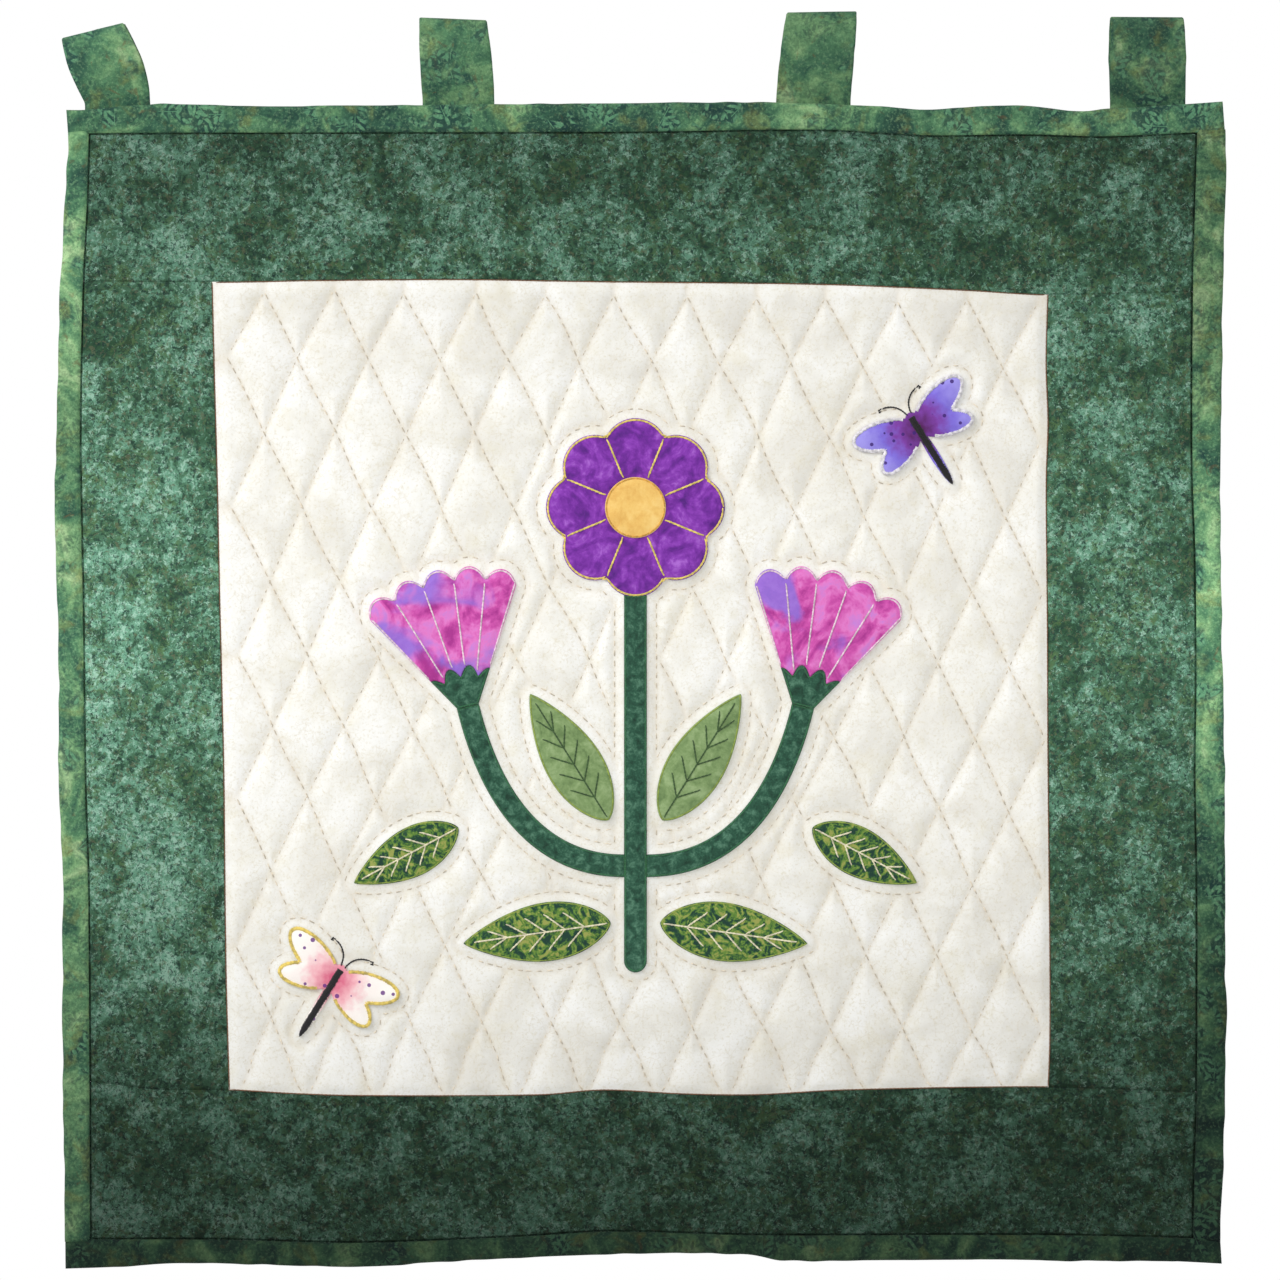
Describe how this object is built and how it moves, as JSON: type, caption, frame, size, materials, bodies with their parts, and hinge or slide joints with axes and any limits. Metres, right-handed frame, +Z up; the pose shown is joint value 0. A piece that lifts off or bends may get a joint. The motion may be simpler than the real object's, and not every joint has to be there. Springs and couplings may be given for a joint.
{
  "type": "applique wall hanging",
  "caption": "Square quilted wall hanging with an applique flower spray on a cream panel, a marbled green border, bound edges and open hanging tabs.",
  "frame": {"origin": "on the axis of a rod through the hanging tabs, midway along the hanging", "axes": "+X to the right along the rod, the face looks along -Y, +Z up"},
  "size_m": [0.6151, 0.0188, 0.6613],
  "materials": {
    "cream_cotton": "matt printed cotton over low wadding, hand quilted",
    "marbled_green": "matt cotton with a fine marbled print",
    "batik_green": "matt batik cotton",
    "stem_green": "matt bias strip of marbled cotton",
    "batik_leaf": "matt batik cotton with stitched veins",
    "light_leaf": "matt cotton with stitched veins",
    "pink_batik": "matt batik cotton, pink turning to lilac",
    "purple_batik": "matt batik cotton",
    "yellow_cotton": "matt cotton",
    "violet_wings": "matt cotton with satin-stitched edges",
    "white_wings": "matt cotton with satin-stitched edges"
  },
  "bodies": {
    "root": {"centre_panel": "cream_cotton", "border_top": "marbled_green", "border_bottom": "marbled_green", "border_left": "marbled_green", "border_right": "marbled_green", "binding_top": "batik_green", "binding_bottom": "batik_green", "binding_left": "batik_green", "binding_right": "batik_green", "tab_1": "batik_green", "tab_2": "batik_green", "tab_3": "batik_green", "tab_4": "batik_green", "stem_main": "stem_green", "stem_left": "stem_green", "stem_right": "stem_green", "calyx_left": "stem_green", "calyx_right": "stem_green", "leaf_1": "batik_leaf", "leaf_2": "batik_leaf", "leaf_3": "light_leaf", "leaf_4": "light_leaf", "leaf_5": "batik_leaf", "leaf_6": "batik_leaf", "bloom_left": "pink_batik", "bloom_right": "pink_batik", "rosette": "purple_batik", "rosette_centre": "yellow_cotton", "insect_upper": "violet_wings", "insect_lower": "white_wings"}
  },
  "joints": []
}
